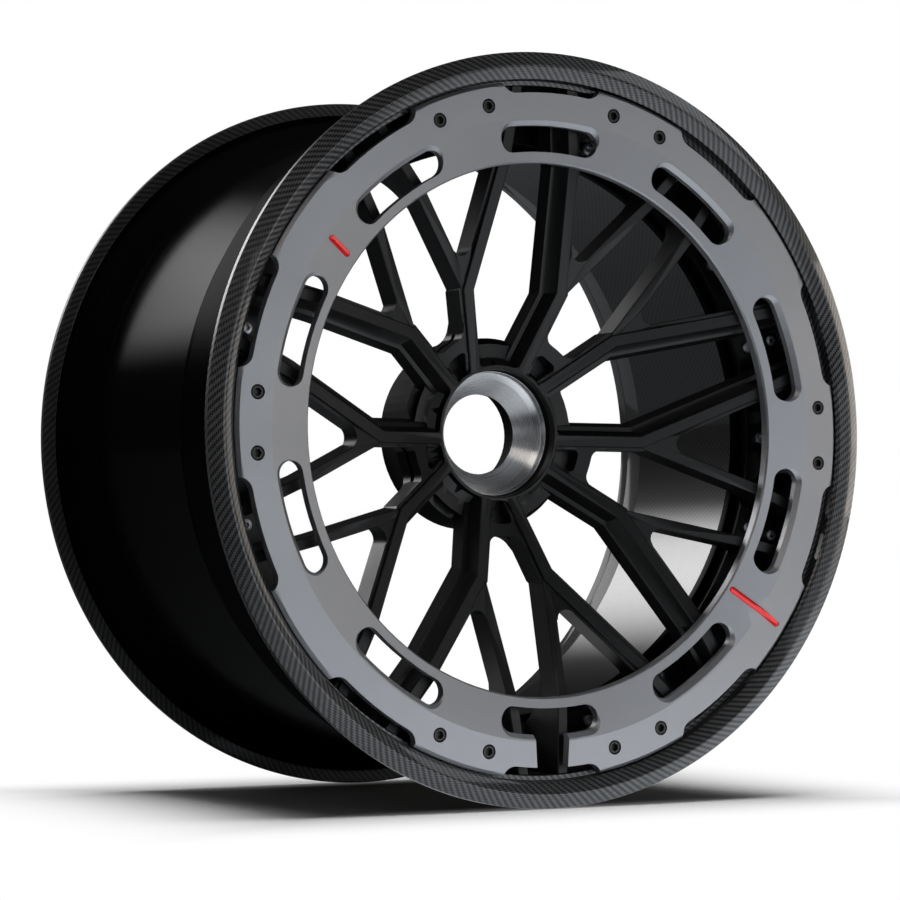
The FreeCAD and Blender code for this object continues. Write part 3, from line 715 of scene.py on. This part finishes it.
class WHEEL_OT_centre(bpy.types.Operator):
    """Finish the forged centre, satin on the spokes and a darker dull black, as painted shade, in the bore
    and on the hub drum
    """

    bl_idname = "wheel.centre"
    bl_label = "Forged centre"

    def execute(self, context):
        finishes = context.scene.wheel_finishes
        piece = welded_copy("forged_centre", "centre_forging")
        smooth(piece.data)
        coat(piece, forged_satin(finishes), bore_shade_black(finishes))
        # Painted shade: faces in the bore and round the hub drum take the darker black.
        for face in piece.data.polygons:
            outward = Vector((face.center.x, 0.0, face.center.z))
            reach = outward.length
            on_drum = reach < HUB_DRUM and face.normal.dot(outward) > DRUM_FACING * reach
            face.material_index = BORE_SHADE if reach < HUB_BORE or on_drum else BODY
        dress(piece, "forged_black", "forged_centre")
        return {"FINISHED"}


class WHEEL_OT_face_ring(bpy.types.Operator):
    """Finish the slotted face ring"""

    bl_idname = "wheel.face_ring"
    bl_label = "Face ring"

    def execute(self, context):
        piece = welded_copy("face_ring", "ring_plate")
        smooth(piece.data)
        coat(piece, ring_satin(context.scene.wheel_finishes))
        dress(piece, "ring_grey", "face_ring")
        return {"FINISHED"}


class WHEEL_OT_lock_seat(bpy.types.Operator):
    """Turn the cone that the centre-lock nut bears on"""

    bl_idname = "wheel.lock_seat"
    bl_label = "Lock seat"

    def execute(self, context):
        finishes = context.scene.wheel_finishes
        piece = lathe("seat_cone", rounded_profile(SEAT_CORNERS), SEAT_STEPS)
        coat(piece, turned_metal(finishes), bore_shade_black(finishes))
        dress(piece, "seat_metal", "lock_seat")
        return {"FINISHED"}


class WHEEL_OT_inlays(bpy.types.Operator):
    """Finish the two red inlays of the face ring"""

    bl_idname = "wheel.inlays"
    bl_label = "Red inlays"

    def execute(self, context):
        material = inlay_gloss(context.scene.wheel_finishes)
        for node in ("red_bar_long", "red_bar_short"):
            piece = welded_copy(node, node.replace("red", "inlay"))
            round_edges(piece, INLAY_ROUNDING)
            smooth(piece.data, angle=50)
            coat(piece, material)
            dress(piece, "red_inlay", node)
        return {"FINISHED"}


def screw_tree():
    """Geometry nodes that put a socket-head screw on each point."""
    if "Socket screws" in bpy.data.node_groups:
        return bpy.data.node_groups["Socket screws"]
    tree = bpy.data.node_groups.new("Socket screws", "GeometryNodeTree")
    for label, kind in (("Points", "NodeSocketGeometry"), ("Head radius", "NodeSocketFloat"),
                        ("Head height", "NodeSocketFloat"), ("Crown", "NodeSocketFloat"),
                        ("Crown width", "NodeSocketFloat"), ("Socket radius", "NodeSocketFloat"),
                        ("Seed", "NodeSocketInt"), ("Material", "NodeSocketMaterial")):
        tree.interface.new_socket(label, in_out="INPUT", socket_type=kind)
    tree.interface.new_socket("Screws", in_out="OUTPUT", socket_type="NodeSocketGeometry")
    nodes = Nodes(tree)
    given = nodes.add("NodeGroupInput").outputs
    made = nodes.add("NodeGroupOutput").inputs

    def raised(mesh, level):
        place = nodes.add("ShaderNodeCombineXYZ")
        nodes.feed(place.inputs["Z"], level)
        moved = nodes.add("GeometryNodeTransform")
        nodes.feed(moved.inputs["Geometry"], mesh)
        nodes.feed(moved.inputs["Translation"], place.outputs[0])
        return moved.outputs[0]

    def drum(sides, radius, height):
        body = nodes.add("GeometryNodeMeshCylinder")
        body.inputs["Vertices"].default_value = sides
        nodes.feed(body.inputs["Radius"], radius)
        nodes.feed(body.inputs["Depth"], height)
        return body.outputs["Mesh"]

    radius = given["Head radius"]
    height = given["Head height"]
    crown = given["Crown"]
    side_height = nodes.math("SUBTRACT", height, crown)
    shank = raised(drum(SCREW_SIDES, radius, side_height),
                   nodes.math("SUBTRACT", nodes.math("MULTIPLY", side_height, -0.5), crown))
    top = nodes.add("GeometryNodeMeshCone")
    top.inputs["Vertices"].default_value = SCREW_SIDES
    nodes.feed(top.inputs["Radius Bottom"], radius)
    nodes.feed(top.inputs["Radius Top"], nodes.math("SUBTRACT", radius, given["Crown width"]))
    nodes.feed(top.inputs["Depth"], crown)
    top_mesh = raised(top.outputs["Mesh"], nodes.math("MULTIPLY", crown, -1.0))
    joined = nodes.add("GeometryNodeMeshBoolean", operation="UNION")
    nodes.feed(joined.inputs["Mesh 2"], shank)
    nodes.feed(joined.inputs["Mesh 2"], top_mesh)
    socket = drum(6, given["Socket radius"], nodes.math("MULTIPLY", height, 2 * SOCKET_SHARE))
    holed = nodes.add("GeometryNodeMeshBoolean", operation="DIFFERENCE")
    nodes.feed(holed.inputs["Mesh 1"], joined.outputs["Mesh"])
    nodes.feed(holed.inputs["Mesh 2"], socket)
    turn = nodes.add("FunctionNodeRandomValue", data_type="FLOAT")
    turn.inputs["Max"].default_value = math.pi / 3
    nodes.feed(turn.inputs["Seed"], given["Seed"])
    own_turn = nodes.add("ShaderNodeCombineXYZ")
    nodes.feed(own_turn.inputs["Z"], [s for s in turn.outputs if s.type == "VALUE"][0])
    placed = nodes.add("GeometryNodeInstanceOnPoints")
    nodes.feed(placed.inputs["Points"], given["Points"])
    nodes.feed(placed.inputs["Instance"], holed.outputs["Mesh"])
    facing = nodes.add("FunctionNodeEulerToRotation")
    spun = nodes.add("FunctionNodeEulerToRotation")
    forward = nodes.add("ShaderNodeCombineXYZ")
    forward.inputs["X"].default_value = math.pi / 2
    nodes.feed(facing.inputs[0], forward.outputs[0])
    nodes.feed(spun.inputs[0], own_turn.outputs[0])
    both = nodes.add("FunctionNodeRotateRotation", rotation_space="LOCAL")
    nodes.feed(both.inputs["Rotation"], facing.outputs[0])
    nodes.feed(both.inputs["Rotate By"], spun.outputs[0])
    nodes.feed(placed.inputs["Rotation"], both.outputs[0])
    real = nodes.add("GeometryNodeRealizeInstances")
    nodes.feed(real.inputs[0], placed.outputs[0])
    coated = nodes.add("GeometryNodeSetMaterial")
    nodes.feed(coated.inputs["Geometry"], real.outputs[0])
    nodes.feed(coated.inputs["Material"], given["Material"])
    nodes.feed(made[0], coated.outputs[0])
    return tree


def place_screws(name, places, radius, form, material):
    """Screws on a list of points, as one plain mesh."""
    values = {"Head radius": radius, "Material": material, **form}
    mesh = bpy.data.meshes.new(name)
    mesh.from_pydata(places, [], [])
    piece = link_piece(name, mesh)
    modifier = piece.modifiers.new("Screws", "NODES")
    tree = screw_tree()
    modifier.node_group = tree
    for item in tree.interface.items_tree:
        if item.item_type == "SOCKET" and item.in_out == "INPUT" and item.name in values:
            modifier[item.identifier] = values[item.name]
    bake_modifiers(piece)
    smooth(piece.data, angle=35)
    return piece


class WHEEL_OT_ring_screws(bpy.types.Operator):
    """Set the black socket-head screws into the face ring"""

    bl_idname = "wheel.ring_screws"
    bl_label = "Ring screws"

    def execute(self, context):
        sizes = context.scene.wheel_sizes
        places = []
        for land in LANDS_WITH_SCREWS:
            for side in (-1, 1):
                turn = LAND_PITCH * land + side * sizes.ring_screw_spread
                places.append(on_circle(sizes.ring_screw_circle, sizes.ring_screw_face, turn))
        piece = place_screws("ring_screw_heads", places, sizes.ring_screw_radius, RING_SCREW_FORM,
                             screw_oxide(context.scene.wheel_finishes))
        dress(piece, "black_steel", "ring_screws")
        return {"FINISHED"}


class WHEEL_OT_flange_screws(bpy.types.Operator):
    """Set the screws that clamp the centre to the barrel"""

    bl_idname = "wheel.flange_screws"
    bl_label = "Flange screws"

    def execute(self, context):
        sizes = context.scene.wheel_sizes
        places = []
        for step in range(sizes.flange_screw_count):
            turn = 2 * math.pi * step / sizes.flange_screw_count
            places.append(on_circle(sizes.flange_screw_circle, sizes.flange_screw_face, turn))
        piece = place_screws("flange_screw_heads", places, sizes.flange_screw_radius, FLANGE_SCREW_FORM,
                             screw_steel(context.scene.wheel_finishes))
        dress(piece, "bright_steel", "flange_screws")
        return {"FINISHED"}


class WHEEL_OT_cap_screws(bpy.types.Operator):
    """Set the outer row of cap screws on the bolting flange, one in each bay without the valve"""

    bl_idname = "wheel.cap_screws"
    bl_label = "Cap screws"

    def execute(self, context):
        sizes = context.scene.wheel_sizes
        places = []
        for bay in BAYS_WITH_CAP_SCREWS:
            turn = LAND_PITCH * (bay + 0.5)
            places.append(on_circle(sizes.cap_screw_circle, sizes.cap_screw_face, turn))
        piece = place_screws("cap_screw_heads", places, sizes.cap_screw_radius, CAP_SCREW_FORM,
                             screw_steel(context.scene.wheel_finishes))
        dress(piece, "bright_steel")
        return {"FINISHED"}


def soft_step(nodes, value, start, end):
    """Share that rises from nought at the start to one at the end."""
    ramp = nodes.add("ShaderNodeMapRange", interpolation_type="SMOOTHSTEP")
    nodes.feed(ramp.inputs["Value"], value)
    ramp.inputs["From Min"].default_value = start
    ramp.inputs["From Max"].default_value = end
    return ramp.outputs[0]


def floor_material():
    """White studio floor that keeps the wheel's shadow and runs into the white background.

    To gloss the floor shows painted light, a glow where no lamp is: a pool in front of the wheel, a streak
    beside it and a dark floor elsewhere.
    """
    material, nodes, shader = new_finish("studio_floor")
    place = nodes.add("ShaderNodeTexCoord").outputs["Object"]
    cloud = nodes.add("ShaderNodeTexNoise")
    nodes.feed(cloud.inputs["Vector"], place)
    cloud.inputs["Scale"].default_value = 3.0
    nodes.feed(shader.inputs["Base Color"],
               nodes.blend(cloud.outputs[0], (0.92, 0.92, 0.92, 1), (0.94, 0.94, 0.94, 1)))
    shader.inputs["Roughness"].default_value = 0.8
    shader.inputs["Specular IOR Level"].default_value = 0.1
    split = nodes.add("ShaderNodeSeparateXYZ")
    nodes.feed(split.inputs[0], place)
    beside = nodes.math("SUBTRACT", nodes.math("ABSOLUTE", split.outputs[0]), FOOTPRINT[0])
    before = nodes.math("SUBTRACT", nodes.math("ABSOLUTE", split.outputs[1]), FOOTPRINT[1])
    far = nodes.math("MAXIMUM", soft_step(nodes, beside, -0.10, 0.15),
                     soft_step(nodes, before, -0.05, 0.13))
    ahead = soft_step(nodes, nodes.math("MULTIPLY", split.outputs[1], -1.0), -0.10, 0.25)
    pool = nodes.add("ShaderNodeVectorMath", operation="DISTANCE")
    nodes.feed(pool.inputs[0], place)
    pool.inputs[1].default_value = LIGHT_POOL
    near = soft_step(nodes, nodes.math("MULTIPLY", pool.outputs["Value"], -1.0), -0.80, -0.30)
    path = nodes.add("ShaderNodeLightPath")
    gloss = nodes.math("MAXIMUM", path.outputs["Is Glossy Ray"], path.outputs["Is Transmission Ray"])
    glow = nodes.add("ShaderNodeEmission")
    seen = nodes.add("ShaderNodeMixShader")
    nodes.feed(seen.inputs[0], nodes.math("MULTIPLY", far, path.outputs["Is Camera Ray"]))
    nodes.feed(seen.inputs[1], shader.outputs[0])
    nodes.feed(seen.inputs[2], glow.outputs[0])
    # Painted light: the floor glows for gloss only, with a pool in front, a streak beside, a faint level
    # behind and a trace elsewhere.
    painted_glow = nodes.add("ShaderNodeEmission")
    painted_glow.inputs["Color"].default_value = opaque(COOL)
    behind = soft_step(nodes, split.outputs[1], 0.0, 0.3)
    off_line = nodes.math("ABSOLUTE", nodes.math("SUBTRACT", split.outputs[1], STREAK_LINE))
    streak = nodes.math("MULTIPLY", soft_step(nodes, split.outputs[0], 0.4, 0.8),
                        soft_step(nodes, nodes.math("SUBTRACT", STREAK_HALF_WIDTH, off_line), 0.0, 0.12))
    level = nodes.math("MULTIPLY", nodes.math("MULTIPLY", ahead, near), POOL_LEVEL)
    level = nodes.math("ADD", level, nodes.math("MULTIPLY", streak, STREAK_LEVEL))
    level = nodes.math("ADD", level, nodes.math("MULTIPLY", behind, BEHIND_LEVEL))
    nodes.feed(painted_glow.inputs["Strength"], nodes.math("ADD", level, REST_LEVEL))
    mirrored = nodes.add("ShaderNodeMixShader")
    nodes.feed(mirrored.inputs[0], gloss)
    nodes.feed(mirrored.inputs[1], seen.outputs[0])
    nodes.feed(mirrored.inputs[2], painted_glow.outputs[0])
    nodes.feed(material.node_tree.nodes["Material Output"].inputs["Surface"], mirrored.outputs[0])
    return material


def aim_light(name, place, size, radiance, colour):
    """Soft rectangular lamp that looks at the wheel and whose face has a given brightness."""
    lamp = bpy.data.lights.new(name, "AREA")
    lamp.shape = "RECTANGLE"
    lamp.size = size[0]
    lamp.size_y = size[1]
    lamp.energy = radiance * math.pi * size[0] * size[1]
    lamp.color = colour
    holder = bpy.data.objects.new(name, lamp)
    holder.location = place
    holder.rotation_euler = (-Vector(place)).to_track_quat("-Z", "Y").to_euler()
    holder.visible_camera = False
    bpy.context.scene.collection.objects.link(holder)
    return holder


def fade_lamp(lamp):
    """Let a lamp's brightness fall away towards the edges of its face."""
    lamp.use_nodes = True
    nodes = Nodes(lamp.node_tree)
    split = nodes.add("ShaderNodeSeparateXYZ")
    nodes.feed(split.inputs[0], nodes.add("ShaderNodeNewGeometry").outputs["Parametric"])

    def inset(place):
        away = nodes.math("ABSOLUTE", nodes.math("SUBTRACT", place, 0.5))
        return nodes.math("SUBTRACT", 0.5, away)

    nodes.feed(lamp.node_tree.nodes["Emission"].inputs["Strength"],
               nodes.math("MULTIPLY", soft_step(nodes, inset(split.outputs[0]), 0.0, 0.45),
                          soft_step(nodes, inset(split.outputs[1]), 0.0, 0.3)))


def light_room(level, mirrored):
    """World that is white to the camera and a plain, darker room to the wheel."""
    world = bpy.data.worlds.new("studio_room")
    bpy.context.scene.world = world
    world.use_nodes = True
    nodes = Nodes(world.node_tree)
    back = world.node_tree.nodes["Background"]
    path = nodes.add("ShaderNodeLightPath")
    gloss = nodes.math("MAXIMUM", path.outputs["Is Glossy Ray"], path.outputs["Is Transmission Ray"])
    plain = nodes.math("ADD", level, nodes.math("MULTIPLY", gloss, mirrored - level))
    seen = path.outputs["Is Camera Ray"]
    unseen = nodes.math("SUBTRACT", 1.0, seen)
    strength = nodes.math("ADD", seen, nodes.math("MULTIPLY", unseen, plain))
    nodes.feed(back.inputs["Strength"], strength)
    back.inputs["Color"].default_value = (1, 1, 1, 1)


class WHEEL_OT_stage(bpy.types.Operator):
    """Set up the floor, the lamps and the camera"""

    bl_idname = "wheel.stage"
    bl_label = "Stage"

    def execute(self, context):
        stage = context.scene.wheel_stage
        scene = context.scene
        scene.view_settings.view_transform = "Standard"
        mesh = bpy.data.meshes.new("studio_floor")
        corners = ((-1, -1), (1, -1), (1, 1), (-1, 1))
        mesh.from_pydata([(FLOOR_REACH * x, FLOOR_REACH * y, stage.floor_height) for x, y in corners],
                         [], [(0, 1, 2, 3)])
        floor = bpy.data.objects.new("studio_floor", mesh)
        mesh.materials.append(floor_material())
        scene.collection.objects.link(floor)
        light_room(stage.room_light, stage.mirror_light)
        for name, place, size, radiance, colour, lights_floor in LAMPS:
            lamp = aim_light(name, place, size, radiance, colour)
            lamp.visible_diffuse = lights_floor
            lamp.visible_glossy = not lights_floor
            if name in FADED_LAMPS:
                fade_lamp(lamp.data)
        camera = bpy.data.objects.new("photo_camera", bpy.data.cameras.new("photo_camera"))
        camera.data.lens = stage.camera_lens
        camera.data.sensor_width = 36.0
        camera.location = stage.camera_place
        camera.rotation_euler = Vector(stage.camera_aim).to_track_quat("-Z", "Y").to_euler()
        scene.collection.objects.link(camera)
        scene.camera = camera
        return {"FINISHED"}


class WHEEL_PT_panel(bpy.types.Panel):
    """Lists the steps that dress the wheel"""

    bl_idname = "WHEEL_PT_panel"
    bl_label = "Forged Wheel"
    bl_space_type = "VIEW_3D"
    bl_region_type = "UI"
    bl_category = "Wheel"

    def draw(self, context):
        column = self.layout.column()
        for step in STEPS:
            column.operator(step.bl_idname)
        for group in (context.scene.wheel_sizes, context.scene.wheel_finishes, context.scene.wheel_stage):
            for name in group.__annotations__:
                column.prop(group, name)


STEPS = (WHEEL_OT_barrel, WHEEL_OT_centre, WHEEL_OT_face_ring, WHEEL_OT_lock_seat, WHEEL_OT_inlays,
         WHEEL_OT_ring_screws, WHEEL_OT_flange_screws, WHEEL_OT_cap_screws, WHEEL_OT_stage)
GROUPS = (("wheel_sizes", WheelSizes), ("wheel_finishes", WheelFinishes), ("wheel_stage", WheelStage))


def register():
    for name, group in GROUPS:
        bpy.utils.register_class(group)
        setattr(bpy.types.Scene, name, bpy.props.PointerProperty(type=group))
    for step in STEPS:
        bpy.utils.register_class(step)
    bpy.utils.register_class(WHEEL_PT_panel)


def unregister():
    bpy.utils.unregister_class(WHEEL_PT_panel)
    for step in reversed(STEPS):
        bpy.utils.unregister_class(step)
    for name, group in reversed(GROUPS):
        delattr(bpy.types.Scene, name)
        bpy.utils.unregister_class(group)


def main():
    register()
    bpy.ops.wheel.barrel()
    bpy.ops.wheel.centre()
    bpy.ops.wheel.face_ring()
    bpy.ops.wheel.lock_seat()
    bpy.ops.wheel.inlays()
    bpy.ops.wheel.ring_screws()
    bpy.ops.wheel.flange_screws()
    bpy.ops.wheel.cap_screws()
    bpy.ops.wheel.stage()


if __name__ == "__main__":
    main()
